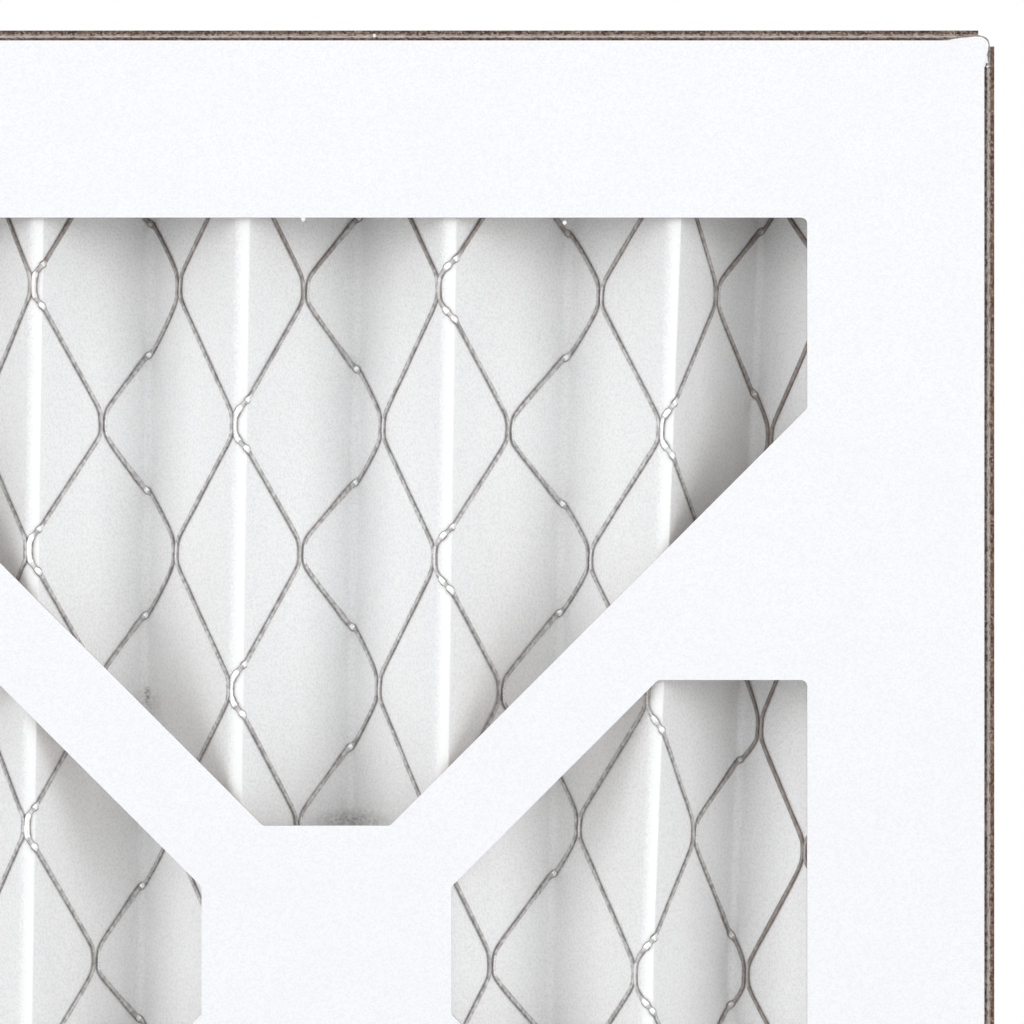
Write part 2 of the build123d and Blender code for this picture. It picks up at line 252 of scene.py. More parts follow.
class Nodes:
    """The node tree of one material, with sockets and plain numbers taken alike."""

    def __init__(self, name):
        self.material = bpy.data.materials.new(name)
        self.material.use_nodes = True
        self.tree = self.material.node_tree
        self.shader = self.tree.nodes["Principled BSDF"]
        geometry = self.add("ShaderNodeNewGeometry")
        self.place = self.scaled(geometry.outputs["Position"], 1 / MM)
        self.x, self.y, self.z = self.split(self.place)
        self.normal_x, self.normal_y, self.normal_z = self.split(geometry.outputs["True Normal"])

    def add(self, kind):
        return self.tree.nodes.new(kind)

    def join(self, value, socket):
        if isinstance(value, bpy.types.NodeSocket):
            self.tree.links.new(value, socket)
        else:
            socket.default_value = value

    def scaled(self, vector, factor):
        node = self.add("ShaderNodeVectorMath")
        node.operation = "SCALE"
        self.join(vector, node.inputs[0])
        node.inputs["Scale"].default_value = factor
        return node.outputs[0]

    def stretched(self, factors):
        node = self.add("ShaderNodeVectorMath")
        node.operation = "MULTIPLY"
        self.join(self.place, node.inputs[0])
        node.inputs[1].default_value = factors
        return node.outputs[0]

    def split(self, vector):
        node = self.add("ShaderNodeSeparateXYZ")
        self.join(vector, node.inputs[0])
        return node.outputs[0], node.outputs[1], node.outputs[2]

    def math(self, operation, *values):
        node = self.add("ShaderNodeMath")
        node.operation = operation
        for value, socket in zip(values, node.inputs):
            self.join(value, socket)
        return node.outputs[0]

    def most(self, *values):
        result = values[0]
        for value in values[1:]:
            result = self.math("MAXIMUM", result, value)
        return result

    def product(self, *values):
        result = values[0]
        for value in values[1:]:
            result = self.math("MULTIPLY", result, value)
        return result

    def above(self, value, limit):
        return self.math("GREATER_THAN", value, limit)

    def below(self, value, limit):
        return self.math("LESS_THAN", value, limit)

    def size(self, value):
        return self.math("ABSOLUTE", value)

    def away(self, value, middle):
        """How far a value is from another, either way."""
        return self.size(self.math("SUBTRACT", value, middle))

    def noise(self, scale, detail=3.0, stretch=(1, 1, 1), roughness=0.55):
        """Noise from 0 to 1 whose grains are about 1 / scale mm across."""
        node = self.add("ShaderNodeTexNoise")
        node.inputs["Scale"].default_value = scale
        node.inputs["Detail"].default_value = detail
        node.inputs["Roughness"].default_value = roughness
        self.join(self.stretched(stretch), node.inputs["Vector"])
        return node.outputs[0]

    def remap(self, value, low, high, to_low=0.0, to_high=1.0):
        node = self.add("ShaderNodeMapRange")
        for number, item in enumerate((value, low, high, to_low, to_high)):
            self.join(item, node.inputs[number])
        return node.outputs[0]

    def blend(self, share, low, high):
        """A colour between two others."""
        node = self.add("ShaderNodeMix")
        node.data_type = "RGBA"
        self.join(share, node.inputs["Factor"])
        for item, socket in ((low, node.inputs[6]), (high, node.inputs[7])):
            self.join((*item, 1) if isinstance(item, tuple) else item, socket)
        return node.outputs[2]

    def bump(self, height, distance, strength=1.0):
        """Unevenness of the surface, whose distance is in millimetres."""
        node = self.add("ShaderNodeBump")
        node.inputs["Strength"].default_value = strength
        node.inputs["Distance"].default_value = distance * MM
        self.join(height, node.inputs["Height"])
        self.join(node.outputs[0], self.shader.inputs["Normal"])

    def spot(self, x, z, half_width, half_height):
        """1 in the middle of an ellipse seen from the front, falling to 0 at its edge."""
        across = self.math("DIVIDE", self.math("SUBTRACT", self.x, x), half_width)
        upward = self.math("DIVIDE", self.math("SUBTRACT", self.z, z), half_height)
        squares = self.math("ADD", self.product(across, across), self.product(upward, upward))
        return self.remap(self.math("SQRT", squares), 0.0, 1.0, 1.0, 0.0)

    def finish(self, colour, roughness, metallic=0.0, specular=0.3):
        self.join(colour, self.shader.inputs["Base Color"])
        self.join(roughness, self.shader.inputs["Roughness"])
        self.shader.inputs["Metallic"].default_value = metallic
        self.shader.inputs["Specular IOR Level"].default_value = specular
        return self.material


def kraft_colour(nodes):
    """Raw brown fibre, darkened with painted shade, mottled, with paler threads and dark pits, frayed pale
    beside the glue line.
    """
    blotches = nodes.noise(0.9, detail=4.0)
    threads = nodes.noise(3.4, detail=2.0, roughness=0.6)
    pits = nodes.noise(2.7, detail=2.0, stretch=(1.3, 1.3, 1.3), roughness=0.6)
    fray = nodes.noise(1.9, roughness=0.65)
    base = nodes.blend(nodes.remap(blotches, 0.35, 0.65), *KRAFT_CORE_AND_SHADE)
    base = nodes.blend(nodes.remap(threads, 0.52, 0.62, 0.0, 0.65), base, KRAFT_THREADS)
    base = nodes.blend(nodes.remap(pits, 0.5, 0.58, 0.0, 0.9), base, KRAFT_PITS)
    from_side = nodes.away(nodes.size(nodes.x), INNER_HALF_WIDTH + TRAY_GAP / 2)
    from_end = nodes.away(nodes.away(nodes.z, MIDDLE_Z), INNER_HALF_HEIGHT + TRAY_GAP / 2)
    beside = nodes.remap(nodes.math("MINIMUM", from_side, from_end), *FRAY_REACH, 1.0, 0.0)
    return nodes.blend(nodes.product(beside, nodes.remap(fray, 0.4, 0.54)), base, KRAFT_FRAY)


def natural_kraft(nodes):
    """The uncoated side of the board, paler than its torn core, whose colour also holds painted shade."""
    fibre = nodes.noise(1.6, detail=4.0, stretch=(1, 1, 2), roughness=0.65)
    return nodes.blend(nodes.remap(fibre, 0.38, 0.62), *NATURAL_KRAFT)


def coated_colour(nodes):
    """White clay coating, faintly clouded, with the tooth of the paper under it."""
    clouds = nodes.noise(0.12)
    grain = nodes.noise(4.2, detail=2.0, roughness=0.6)
    base = nodes.blend(nodes.remap(clouds, 0.3, 0.7), *COATING)
    return nodes.blend(nodes.remap(grain, 0.42, 0.64, 0.0, 0.85), base, COATING_GRAIN)


def inner_side(nodes):
    """1 on the sides of the trays that face the pack."""
    rise = nodes.away(nodes.z, MIDDLE_Z)
    within_x = nodes.below(nodes.size(nodes.x), INNER_HALF_WIDTH - WALL_MARGIN)
    within_z = nodes.below(rise, INNER_HALF_HEIGHT - WALL_MARGIN)
    return nodes.product(nodes.below(nodes.size(nodes.y), DEPTH / 2 - FACE_MARGIN), within_x, within_z)


def front_raw(nodes):
    """Raw board of the front tray: in the opened scores, at the cut edges and on its inside."""
    rise = nodes.away(nodes.z, MIDDLE_Z)
    inside = nodes.above(nodes.y, FACE_Y + SCORE_FLOOR)
    edge_on = nodes.below(nodes.size(nodes.normal_y), EDGE_ON)
    within_x = nodes.below(nodes.size(nodes.x), INNER_HALF_WIDTH - EDGE_MARGIN)
    within_z = nodes.below(rise, INNER_HALF_HEIGHT - EDGE_MARGIN)
    return nodes.most(inside, nodes.product(edge_on, within_x, within_z))


def rear_raw(nodes):
    """Raw board of the rear tray: all of it but the coated outside."""
    rise = nodes.away(nodes.z, MIDDLE_Z)
    sides = nodes.product(nodes.above(nodes.size(nodes.x), WIDTH / 2 - EDGE_MARGIN),
                          nodes.above(nodes.size(nodes.normal_x), FACING))
    ends = nodes.product(nodes.above(rise, HEIGHT / 2 - EDGE_MARGIN),
                         nodes.above(nodes.size(nodes.normal_z), FACING))
    back = nodes.product(nodes.above(nodes.y, DEPTH / 2 - EDGE_MARGIN), nodes.above(nodes.normal_y, FACING))
    return nodes.math("SUBTRACT", 1.0, nodes.most(sides, ends, back))


def board_material(name, raw_of):
    """Coated board, with brown fibre wherever raw_of says that it is cut, scored or uncoated."""
    nodes = Nodes(name)
    raw = raw_of(nodes)
    # cut edges and scores take the kraft core with its painted shade
    cut = nodes.blend(inner_side(nodes), kraft_colour(nodes), natural_kraft(nodes))
    nodes.bump(nodes.noise(2.2, detail=4.0), distance=0.02, strength=0.35)
    roughness = nodes.remap(raw, 0.0, 1.0, 0.42, 0.9)
    return nodes.finish(nodes.blend(raw, coated_colour(nodes), cut), roughness, specular=0.25)


def paper_material(name, tones):
    """The board's facing where it is torn off or curled."""
    nodes = Nodes(name)
    fibre = nodes.noise(4.0, roughness=0.65)
    nodes.bump(fibre, distance=0.04, strength=0.5)
    return nodes.finish(nodes.blend(nodes.remap(fibre, 0.4, 0.6), *tones), roughness=0.85, specular=0.15)


def media_material():
    """White nonwoven: fine tangled fibres, matt, with a slight sheen, and a painted highlight in an even pale
    tone along the ridges.
    """
    nodes = Nodes("media_nonwoven")
    fibres = nodes.noise(2.9, roughness=0.7)
    crossing = nodes.noise(1.3, detail=4.0, stretch=(1, 1, 2.5), roughness=0.65)
    clouds = nodes.noise(0.18, detail=2.0)
    tone = nodes.blend(nodes.remap(clouds, 0.3, 0.7), *MEDIA_TONES)
    tone = nodes.blend(nodes.remap(fibres, 0.45, 0.6), tone, MEDIA_DARK_TONE)
    # painted highlight: the ridges' crests turn to an even pale tone
    tone = nodes.blend(nodes.remap(nodes.y, *MEDIA_RIDGE_HIGHLIGHT_Y), tone, MEDIA_RIDGE_HIGHLIGHT_TONE)
    # noise that breaks up the darker spots
    mark_mottle = nodes.remap(crossing, 0.4, 0.58, 0.2, 1.0)
    for x, z, half_width, half_height, depth in MEDIA_MARKS:
        share = nodes.product(nodes.spot(x, z, half_width, half_height), mark_mottle, depth)
        tone = nodes.blend(share, tone, MEDIA_MARK_TONE)
    nodes.bump(nodes.math("ADD", fibres, crossing), distance=0.1, strength=0.8)
    nodes.shader.inputs["Sheen Weight"].default_value = 0.1
    return nodes.finish(tone, roughness=0.95, specular=0.1)


def steel_material(name, tones, roughness, metallic):
    """Grid steel, streaked, browner near the top of the window and at its right, in the tones given:
    galvanised faces, cut edges with painted shade, or a painted highlight.
    """
    nodes = Nodes(name)
    streaks = nodes.noise(1.4, detail=4.0)
    spots = nodes.noise(5.0, detail=2.0)
    tone = nodes.blend(nodes.remap(streaks, 0.38, 0.62), *tones)
    patches = nodes.remap(nodes.noise(0.25, detail=2.0), 0.35, 0.6)
    high = nodes.product(nodes.remap(nodes.z, *BROWN_FROM_Z), patches)
    right = nodes.remap(nodes.x, *BROWN_FROM_X)
    brown = nodes.product(nodes.most(high, right), BROWN_SHARE)
    tone = nodes.blend(brown, tone, STEEL_BROWN)
    nodes.bump(spots, distance=0.02, strength=0.4)
    roughness = nodes.remap(spots, 0.3, 0.7, roughness - 0.08, roughness + 0.1)
    return nodes.finish(tone, roughness, metallic, specular=0.5)


def glue_material(name, tones):
    """Hot-melt adhesive: uneven, dull, slightly clouded."""
    nodes = Nodes(name)
    clouds = nodes.noise(1.1, detail=4.0)
    nodes.bump(nodes.noise(3.0), distance=0.05, strength=0.4)
    return nodes.finish(nodes.blend(nodes.remap(clouds, 0.3, 0.7), *tones), roughness=0.55, specular=0.4)


def dress(node, material):
    """Gives a solid's object a better material."""
    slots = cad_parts[node].data.materials
    slots.clear()
    slots.append(material)


def piece(name, mesh, slot, *materials):
    """A new piece of the filter, which rides with it."""
    made = bpy.data.objects.new(name, mesh)
    bpy.context.scene.collection.objects.link(made)
    for material in materials:
        mesh.materials.append(material)
    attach(made, "root")
    return made


def to_mesh(mesh, name):
    data = bpy.data.meshes.new(name)
    mesh.to_mesh(data)
    mesh.free()
    return data


def trim(mesh, half_width, half_height):
    """Cuts a mesh off square to the frame."""
    cuts = (((half_width, 0, 0), (1, 0, 0)), ((-half_width, 0, 0), (-1, 0, 0)),
            ((0, 0, MIDDLE_Z + half_height), (0, 0, 1)), ((0, 0, MIDDLE_Z - half_height), (0, 0, -1)))
    for point, outward in cuts:
        everything = mesh.verts[:] + mesh.edges[:] + mesh.faces[:]
        bmesh.ops.bisect_plane(mesh, geom=everything, plane_co=Vector(point) * MM, plane_no=outward,
                               clear_outer=True)


def add_tube(mesh, rings):
    """Joins rings of vertices with faces, each to the next, and gives the faces back."""
    sides = len(rings[0])
    faces = []
    for one, other in zip(rings, rings[1:]):
        for side in range(sides):
            after = (side + 1) % sides
            faces.append(mesh.faces.new((one[side], other[side], other[after], one[after])))
    return faces


class Pleats:
    """One surface of the pleated sheet, as lines and bends that repeat every pitch."""

    def __init__(self, corners):
        count = len(corners)
        angles = []
        for index, (x, y, _) in enumerate(corners):
            next_x, next_y, _ = corners[(index + 1) % count]
            angles.append(atan2(next_y - y, next_x + (PITCH if index == count - 1 else 0) - x))
        self.parts = []
        for index, (x, y, radius) in enumerate(corners):
            before, after = angles[index - 1], angles[index]
            turn = after - before
            trimmed = radius * tan(abs(turn) / 2)
            start = (x - trimmed * cos(before), y - trimmed * sin(before))
            self.parts.append(("bend", radius, turn, before, *start))
            next_x, next_y, next_radius = corners[(index + 1) % count]
            next_x += PITCH if index == count - 1 else 0
            next_turn = angles[(index + 1) % count] - after
            length = hypot(next_x - x, next_y - y) - trimmed - next_radius * tan(abs(next_turn) / 2)
            start = (x + trimmed * cos(after), y + trimmed * sin(after))
            self.parts.append(("line", length, 0.0, after, *start))

    def lengths(self, front):
        """Lengths of the parts on a sheet that lies this far in front of the surface."""
        found = []
        for kind, size, turn, *_ in self.parts:
            found.append(size if kind == "line" else (size + (front if turn > 0 else -front)) * abs(turn))
        return found

    def run(self):
        return sum(self.lengths(0.0))

    def at(self, run, front):
        """Where a place along the sheet is: x, y and the slope there."""
        lengths = self.lengths(front)
        number = floor(run / sum(lengths))
        left = run - number * sum(lengths)
        for length, (kind, size, turn, angle, x, y) in zip(lengths, self.parts):
            if left <= length:
                break
            left -= length
        if kind == "line":
            slope = angle
            x, y = x + left * cos(angle), y + left * sin(angle)
        else:
            slope = angle + turn * left / length
            side = size if turn > 0 else -size
            x += side * (sin(slope) - sin(angle))
            y -= side * (cos(slope) - cos(angle))
        return (x + front * sin(slope) + number * PITCH, y - front * cos(slope), slope)


FRONT_PLEATS = Pleats(MEDIA_FRONT_CORNERS)
REAR_PLEATS = Pleats(MEDIA_REAR_CORNERS)


def creep_of_fold(number, rise):
    middle, top = FOLD_CREEP.get(number, (0.0, 0.0))
    return middle + (top - middle) * max(0.0, rise) / CREEP_HEIGHT


def creep(x, rise):
    """How far the pleats sit to the right of their even places."""
    place = (x - RIDGE_X) / HALF_PITCH
    number = floor(place)
    low, high = creep_of_fold(number, rise), creep_of_fold(number + 1, rise)
    return low + (high - low) * (place - number)


def place_in_pack(x, y, rise):
    """From the upright pack to the filter, in millimetres."""
    x += creep(x, rise)
    return Vector((x * cos(PACK_TILT) + rise * sin(PACK_TILT), y,
                   MIDDLE_Z - x * sin(PACK_TILT) + rise * cos(PACK_TILT)))


def wander(x, y, z=0.0):
    """Smooth noise about 0."""
    return noise.noise(Vector((x, y, z)))


def rippled(x, y, rise):
    """The same place with the pleats' gentle unevenness."""
    return place_in_pack(x, y + RIPPLE * wander(x * RIPPLE_ACROSS, 0.0, rise * RIPPLE_ALONG), rise)


def media_runs(pleats, half_width):
    """Places along a surface where its mesh has a line: close together on the bends."""
    places = []
    first = floor((-half_width - RIDGE_X) / PITCH)
    last = ceil((half_width - RIDGE_X) / PITCH)
    for number in range(first, last):
        start = number * pleats.run()
        for (kind, *_), length in zip(pleats.parts, pleats.lengths(0.0)):
            steps = BEND_STEPS if kind == "bend" else max(2, round(length / LEG_STEP))
            places += [start + length * step / steps for step in range(steps)]
            start += length
    return places


def media_mesh():
    """The pleated sheet, both sides, cut square to the frame."""
    half_height = PACK_HALF_HEIGHT + RISE_MARGIN
    rows = [half_height * (step / HALF_ROWS - 1) for step in range(2 * HALF_ROWS + 1)]
    mesh = bmesh.new()
    for pleats, flip in ((FRONT_PLEATS, False), (REAR_PLEATS, True)):
        grid = []
        for run in media_runs(pleats, PACK_HALF_WIDTH + RUN_MARGIN):
            x, y, _ = pleats.at(run, 0.0)
            grid.append([mesh.verts.new(rippled(x + RIDGE_X, y, rise) * MM) for rise in rows])
        for one, other in zip(grid, grid[1:]):
            for low in range(len(rows) - 1):
                corners = [one[low], other[low], other[low + 1], one[low + 1]]
                mesh.faces.new(reversed(corners) if flip else corners).smooth = True
    trim(mesh, PACK_HALF_WIDTH, PACK_HALF_HEIGHT)
    return to_mesh(mesh, "media")


def bond_place(column, row):
    """Where one bond lies on the flat grid: (run, rise)."""
    dice = random.Random(column * COLUMN_SEED + row * ROW_SEED + FIRST_SEED)
    run_scatter, rise_scatter = BOND_SCATTER
    rise = GRID_BOND_RISE + row * HALF_LONG_WAY + ROW_SHIFT.get(row, 0.0)
    rise += dice.uniform(-rise_scatter, rise_scatter)
    run = GRID_PHASE + column * HALF_SHORT_WAY + COLUMN_SHIFT.get(column, 0.0)
    run += dice.uniform(-run_scatter, run_scatter)
    if column > 0:
        run += COLUMN_LEAN * (max(rise, LEAN_LOWEST_RISE) - LEAN_FROM_RISE)
    aside, up = BOND_SHIFT.get((column, row), (0.0, 0.0))
    return run + aside, rise + up


def ribbon_corners(number):
    """Corners of one ribbon's zigzag on the flat grid, upwards: (run, rise, is its bond to its left)."""
    corners = []
    first = floor((-PACK_HALF_HEIGHT - GRID_BOND_RISE) / HALF_LONG_WAY) - 1
    last = ceil((PACK_HALF_HEIGHT - GRID_BOND_RISE) / HALF_LONG_WAY) + 1
    for row in range(first, last + 1):
        left = (number + row) % 2 == 0
        column = number if left else number + 1
        run, rise = bond_place(column, row)
        offset = RIDGE_BOND_OFFSET if column % COLUMNS_A_PLEAT == 0 else BOND_OFFSET
        run += offset if left else -offset
        corners.append((run, rise - BOND_LENGTH / 2, left))
        corners.append((run, rise + BOND_LENGTH / 2, left))
    return corners


def fold_places():
    """Where the folds are along the grid within one pitch: the ridge's right edge, then the valley."""
    lengths = FRONT_PLEATS.lengths(GRID_GAP + GRID_HALF)
    edge = sum(lengths[:2]) + lengths[2] / 2
    valley = sum(lengths[:4]) + lengths[4] / 2
    return edge, valley


RIDGE_EDGE, VALLEY = fold_places()


def from_fold(run, place):
    """How far a place along the grid is past the nearest fold of one sort."""
    pitch = FRONT_PLEATS.run()
    away = (run - place) / pitch
    return (away - round(away)) * pitch


def bow(rightward):
    """How far a strand bows to the right on its way from its left end, at 0, to its right one, at 1."""
    return BOW * BOW_PEAK * rightward ** 2 * (1 - rightward)


def station_step(run, at, length):
    """From one place along a stretch of a strand to the next."""
    near_edge = NEAR_EDGE[0] < from_fold(run, RIDGE_EDGE) < NEAR_EDGE[1]
    near_valley = abs(from_fold(run, VALLEY)) < NEAR_VALLEY
    near_corner = min(at, length - at) < NEAR_CORNER
    return FINE_STEP if near_edge or near_valley or near_corner else COARSE_STEP


def ribbon_stations(number):
    """Places along one ribbon: (run, rise, whether it runs along the right of a bond there)."""
    corners = ribbon_corners(number)
    beside_valley = number % COLUMNS_A_PLEAT == 1
    stations = []
    for index, ((run, rise, left), (next_run, next_rise, _)) in enumerate(zip(corners, corners[1:])):
        on_bond = index % 2 == 0
        length = hypot(next_run - run, next_rise - rise)
        at = 0.0
        while at < length:
            share = at / length
            here = run + (next_run - run) * share
            if beside_valley and not on_bond:
                here += bow(share if next_run > run else 1 - share)
            stations.append((here, rise + (next_rise - rise) * share, on_bond and left))
            at += station_step(here, at, length)
    return softened(stations)


def softened(stations):
    """The same line with its corners rounded."""
    for _ in range(SOFTENING):
        inner = [((a[0] + 2 * b[0] + c[0]) / 4, (a[1] + 2 * b[1] + c[1]) / 4, b[2])
                 for a, b, c in zip(stations, stations[1:], stations[2:])]
        stations = [stations[0], *inner, stations[-1]]
    return stations


def grid_point(run, rise):
    """A place in the middle of the grid's thickness, and the slope of the pleats there."""
    x, y, slope = FRONT_PLEATS.at(run, GRID_GAP + GRID_HALF)
    return rippled(x + RIDGE_X, y, rise), slope


def knuckle(run):
    """Whether a strand bends there over a ridge's edge or into a valley, where it gets a painted highlight.
    """
    past_edge = from_fold(run, RIDGE_EDGE)
    on_edge = abs(past_edge) < KNUCKLE_HALF or abs(past_edge + RIDGE_FLAT) < KNUCKLE_HALF
    return on_edge or abs(from_fold(run, VALLEY)) < VALLEY_KNUCKLE_HALF


def ribbon_half_width(number, run, rise):
    past_widest = from_fold(run, VALLEY) + SWELLING_AHEAD
    swelling = VALLEY_SWELLING * max(0.0, 1 - abs(past_widest) / SWELLING_REACH)
    if knuckle(run):
        swelling = KNUCKLE_SWELLING
    return RIBBON_HALF * (1 + swelling + WIDTH_WANDER * wander(number * WIDTH_NOISE_STEP, rise * WIDTH_WAVES))


def ribbon_rings(number):
    """Cross-sections of one ribbon, and which of them carry the painted highlight from there on."""
    stations = ribbon_stations(number)
    points = [grid_point(run, rise) for run, rise, _ in stations]
    rings = []
    for index in range(1, len(points) - 1):
        middle, slope = points[index]
        run, rise, beside_bond = stations[index]
        forward = (points[index + 1][0] - points[index - 1][0]).normalized()
        outward = Vector((sin(slope), -cos(slope), 0.0))
        across = forward.cross(outward).normalized()
        outward = across.cross(forward).normalized()
        width = ribbon_half_width(number, run, rise)
        twist = TWIST * wander(number * TWIST_NOISE_STEP, rise * TWIST_WAVES, TWIST_NOISE_PLACE)
        turned = Matrix.Rotation(twist, 3, forward)
        ring = [middle + turned @ (across * a * width + outward * o * GRID_HALF) for a, o in SECTION]
        rings.append((ring, knuckle(run) or beside_bond))
    return rings


def grid_mesh():
    """All the ribbons of the grid, side by side at the bonds."""
    mesh = bmesh.new()
    reach = GRID_HALF_WIDTH / PITCH * FRONT_PLEATS.run() / HALF_SHORT_WAY
    for number in range(-floor(reach) - 2, ceil(reach) + 1):
        rings = ribbon_rings(number)
        faces = add_tube(mesh, [[mesh.verts.new(point * MM) for point in ring] for ring, _ in rings])
        for place, face in enumerate(faces):
            step, side = divmod(place, len(SECTION))
            gets_highlight = rings[step][1]
            # flat tops are plain or carry the painted highlight; every other side takes the cut edges'
            # painted shade
            face.material_index = (HIGHLIGHT_TOP if gets_highlight else FLAT) if side == FLAT_SIDE else SHEARED_AND_SHADED
            face.smooth = True
    trim(mesh, GRID_HALF_WIDTH + GRID_OVERHANG, PACK_HALF_HEIGHT - GRID_END_GAP)
    bmesh.ops.recalc_face_normals(mesh, faces=mesh.faces[:])
    return to_mesh(mesh, "grid")


def add_glue_line(mesh, turn):
    """The line of glue along one wall; each turn is a quarter round from the top wall."""
    half, reach = INNER_HALF_WIDTH - GLUE_END_GAP, INNER_HALF_HEIGHT
    if turn % 2 == 1:
        half, reach = INNER_HALF_HEIGHT - GLUE_END_GAP, INNER_HALF_WIDTH
    low = reach + GLUE_CLEARANCE
    high = low + (TRAY_GAP - 2 * GLUE_CLEARANCE)
    steps = int(2 * half / GLUE_STEP)
    place = Matrix.Rotation(turn * pi / 2, 4, "Y")
    rings = []
    for step in range(steps + 1):
        along = -half + 2 * half * step / steps
        front = FACE_Y + GLUE_FRONT + GLUE_WANDER * wander(along * GLUE_WAVES, turn * GLUE_NOISE_STEP)
        corners = ((low, front), (high, front), (high, front + GLUE_DEPTH), (low, front + GLUE_DEPTH))
        rings.append([mesh.verts.new(((place @ Vector((along, y, up))) + Vector((0, 0, MIDDLE_Z))) * MM)
                      for up, y in corners])
    add_tube(mesh, rings)
    mesh.faces.new(rings[0])
    mesh.faces.new(reversed(rings[-1]))


def glue_line_mesh():
    """The thin line of glue and torn fibre that shows between the nested walls, all the way round."""
    mesh = bmesh.new()
    for turn in range(4):
        add_glue_line(mesh, turn)
    bmesh.ops.recalc_face_normals(mesh, faces=mesh.faces[:])
    return to_mesh(mesh, "wall_glue_line")


def add_flap(mesh):
    """The torn facing, lying on the front board."""
    over, under = [[mesh.verts.new(Vector((x, FACE_Y + depth, z)) * MM) for x, z in TORN_FLAP]
                   for depth in FLAP_DEPTHS]
    mesh.faces.new(reversed(over))
    mesh.faces.new(under)
    for index, corner in enumerate(over):
        after = (index + 1) % len(over)
        mesh.faces.new((corner, over[after], under[after], under[index]))


def add_fleck(mesh, middle, dice):
    """One scrap of torn facing: a small uneven wedge."""
    half = dice.uniform(*FLECK_HALF)
    turn = dice.uniform(0, pi)
    corners = []
    for step in range(FLECK_CORNERS):
        angle = turn + step * 2 * pi / FLECK_CORNERS
        reach = half * dice.uniform(*FLECK_REACH)
        corners.append(middle + Vector((reach * cos(angle), dice.uniform(*FLECK_BEND), reach * sin(angle))))
    rim = [mesh.verts.new(corner * MM) for corner in corners]
    tip = mesh.verts.new((middle + Vector((0, -FLECK_HALF_THICKNESS, 0))) * MM)
    heel = mesh.verts.new((middle + Vector((0, FLECK_HALF_THICKNESS, 0))) * MM)
    for index, corner in enumerate(rim):
        after = rim[(index + 1) % FLECK_CORNERS]
        mesh.faces.new((corner, after, tip))
        mesh.faces.new((after, corner, heel))


def smooth_line(points):
    """Twice cuts the corners of a line, keeping its ends."""
    for _ in range(2):
        cut = [points[0]]
        for one, other in zip(points, points[1:]):
            cut += [one.lerp(other, 0.25), one.lerp(other, 0.75)]
        points = [*cut, points[-1]]
    return points


def add_curl(mesh):
    """The facing's edge where it has curled up: an uneven roll, thinner to its ends."""
    line = smooth_line([Vector((x, FACE_Y + CURL_DEPTH, z)) for x, z in TORN_EDGE])
    last = len(line) - 1
    rings = []
    for index, point in enumerate(line):
        along = (line[min(index + 1, last)] - line[max(index - 1, 0)]).normalized()
        across = along.cross(Vector((0, -1, 0))).normalized()
        thickness = CURL_END + (1 - CURL_END) * sin(pi * index / last)
        half = CURL_HALF * (thickness + CURL_WANDER * noise.noise(point * CURL_WAVES))
        turns = [2 * pi / CURL_SIDES * step for step in range(CURL_SIDES)]
        ring = [point + across * half * cos(turn) + Vector((0, half * sin(turn), 0)) for turn in turns]
        rings.append([mesh.verts.new(corner * MM) for corner in ring])
    for face in add_tube(mesh, rings):
        # the roll takes the second material: the paper in a painted shade
        face.material_index = 1
        face.smooth = True


def torn_corner_mesh():
    """The front board's facing at the torn top right corner: a flap, loose flecks and a curled edge."""
    mesh = bmesh.new()
    add_flap(mesh)
    dice = random.Random(FLECK_SEED)
    for _ in range(FLECKS):
        place = (dice.uniform(*FLECK_X), FACE_Y + dice.uniform(*FLECK_DEPTH), dice.uniform(*FLECK_Z))
        add_fleck(mesh, Vector(place), dice)
    add_curl(mesh)
    bmesh.ops.recalc_face_normals(mesh, faces=mesh.faces[:])
    return to_mesh(mesh, "torn_corner")


def bead_mesh():
    """Small beads of glue on the front board's edges."""
    mesh = bmesh.new()
    for x, z, half in GLUE_BEADS:
        place = Matrix.Translation(Vector((x, FACE_Y + BEAD_DEPTH, z)) * MM)
        shape = Matrix.Diagonal((half, BEAD_HALF_DEPTH, half * BEAD_TALLNESS, 1.0)) @ Matrix.Scale(MM, 4)
        bmesh.ops.create_icosphere(mesh, subdivisions=3, radius=1.0, matrix=place @ shape)
    for vertex in mesh.verts:
        vertex.co += vertex.normal * MM * BEAD_WANDER * noise.noise(vertex.co / MM * BEAD_WAVES)
    for face in mesh.faces:
        face.smooth = True
    return to_mesh(mesh, "beads")


def dress_frame():
    """The trays, the hidden glue, and what shows of glue and torn facing at the edges."""
    dress("front_frame", board_material("front_coated_board", front_raw))
    dress("rear_frame", board_material("rear_coated_board", rear_raw))
    glue = glue_material("sealant", SEALANT)
    for node in ("top_end_seal", "bottom_end_seal", "left_side_seal", "right_side_seal",
                 "front_tip_glue", "rear_tip_glue"):
        dress(node, glue)
    line = glue_material("glue_and_fibre", GLUE_AND_FIBRE)
    piece("wall_glue_line", glue_line_mesh(), "adhesive", line)
    paper = paper_material("torn_facing", TORN_PAPER)
    # the curled edge's material is the torn paper in a painted shade
    edge = paper_material("curled_edge_painted_shade", CURLED_PAPER_SHADE)
    piece("torn_corner_facing", torn_corner_mesh(), "front_board", paper, edge)
    beads = glue_material("glue_beads", GLUE_BEAD)
    piece("edge_glue_beads", bead_mesh(), "adhesive", beads)


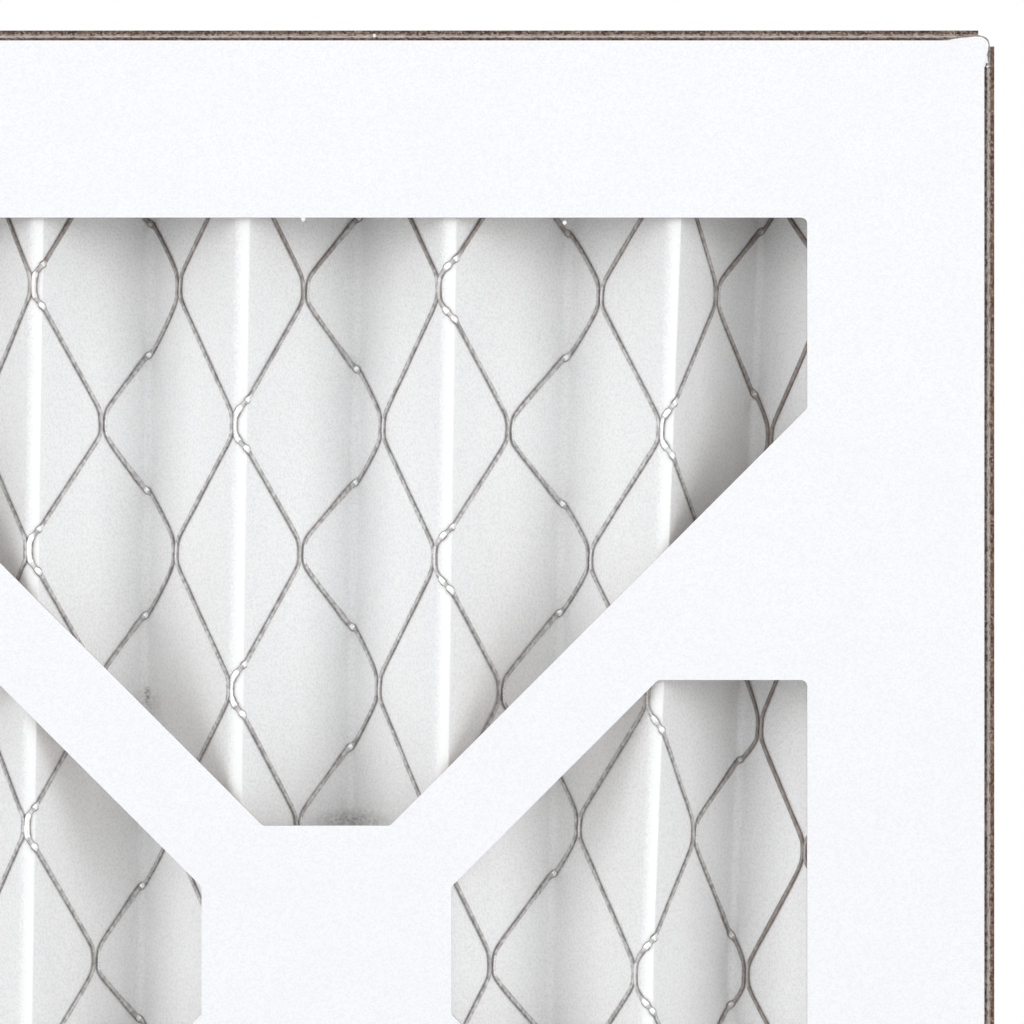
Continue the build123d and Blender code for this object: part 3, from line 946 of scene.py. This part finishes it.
def dress_pack():
    """The media and the grid, which take the place of their solids."""
    media = piece("pleated_media", media_mesh(), "media", media_material())
    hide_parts("filter_media")
    flat = steel_material("grid_flats", STEEL_FLATS, roughness=0.45, metallic=0.25)
    # cut edges, darkened with painted shade
    cut_edge_and_shade_steel = steel_material("grid_cut_edges_and_shade", STEEL_CUT_EDGES_AND_SHADE, roughness=0.55, metallic=0.15)
    # painted highlight at knuckles and bonds
    highlight_steel = steel_material("grid_painted_highlight", STEEL_HIGHLIGHT_TONES, roughness=0.3, metallic=0.35)
    grid = piece("expanded_grid", grid_mesh(), "grid_steel", flat, cut_edge_and_shade_steel, highlight_steel)
    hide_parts("support_grid")


def add_camera():
    data = bpy.data.cameras.new("camera")
    data.sensor_width = SENSOR
    data.lens = SENSOR * CAMERA_DISTANCE / PICTURE_WIDTH
    data.clip_start = 0.01
    data.clip_end = 50.0
    camera = bpy.data.objects.new("camera", data)
    camera.location = (CAMERA_X * MM, (FACE_Y - CAMERA_DISTANCE) * MM, CAMERA_Z * MM)
    camera.rotation_euler = (pi / 2, 0, 0)
    bpy.context.scene.collection.objects.link(camera)
    bpy.context.scene.camera = camera


def add_softbox(name, place, size, power):
    data = bpy.data.lights.new(name, "AREA")
    data.shape = "SQUARE"
    data.size = size
    data.energy = power
    light = bpy.data.objects.new(name, data)
    light.location = place
    light.rotation_mode = "QUATERNION"
    light.rotation_quaternion = (Vector(AIM) - Vector(place)).to_track_quat("-Z", "Y")
    bpy.context.scene.collection.objects.link(light)


def add_world():
    """White to the camera, and a softer white to everything else."""
    world = bpy.data.worlds.new("studio")
    world.use_nodes = True
    bpy.context.scene.world = world
    tree = world.node_tree
    seen = tree.nodes["Background"]
    seen.inputs["Color"].default_value = WHITE
    seen.inputs["Strength"].default_value = 1.0
    ambient = tree.nodes.new("ShaderNodeBackground")
    ambient.inputs["Color"].default_value = AMBIENT_COLOUR
    ambient.inputs["Strength"].default_value = AMBIENT
    path = tree.nodes.new("ShaderNodeLightPath")
    choose = tree.nodes.new("ShaderNodeMixShader")
    tree.links.new(path.outputs["Is Camera Ray"], choose.inputs["Fac"])
    tree.links.new(ambient.outputs[0], choose.inputs[1])
    tree.links.new(seen.outputs[0], choose.inputs[2])
    tree.links.new(choose.outputs[0], tree.nodes["World Output"].inputs["Surface"])


def add_floor():
    mesh = bmesh.new()
    bmesh.ops.create_grid(mesh, x_segments=1, y_segments=1, size=FLOOR_HALF)
    for vertex in mesh.verts:
        vertex.co.y = min(vertex.co.y, FLOOR_BEHIND)
    floor_object = bpy.data.objects.new("floor", to_mesh(mesh, "floor"))
    bpy.context.scene.collection.objects.link(floor_object)
    nodes = Nodes("pale_floor")
    speckle = nodes.noise(0.05, detail=2.0)
    colour = nodes.blend(nodes.remap(speckle, 0.3, 0.7), *FLOOR_TONES)
    floor_object.data.materials.append(nodes.finish(colour, roughness=0.8, specular=0.1))


def add_studio():
    bpy.context.scene.view_settings.view_transform = "Standard"
    add_world()
    add_floor()
    for name, place, size, power in SOFTBOXES:
        add_softbox(name, place, size, power)
    add_camera()


dress_frame()
dress_pack()
add_studio()
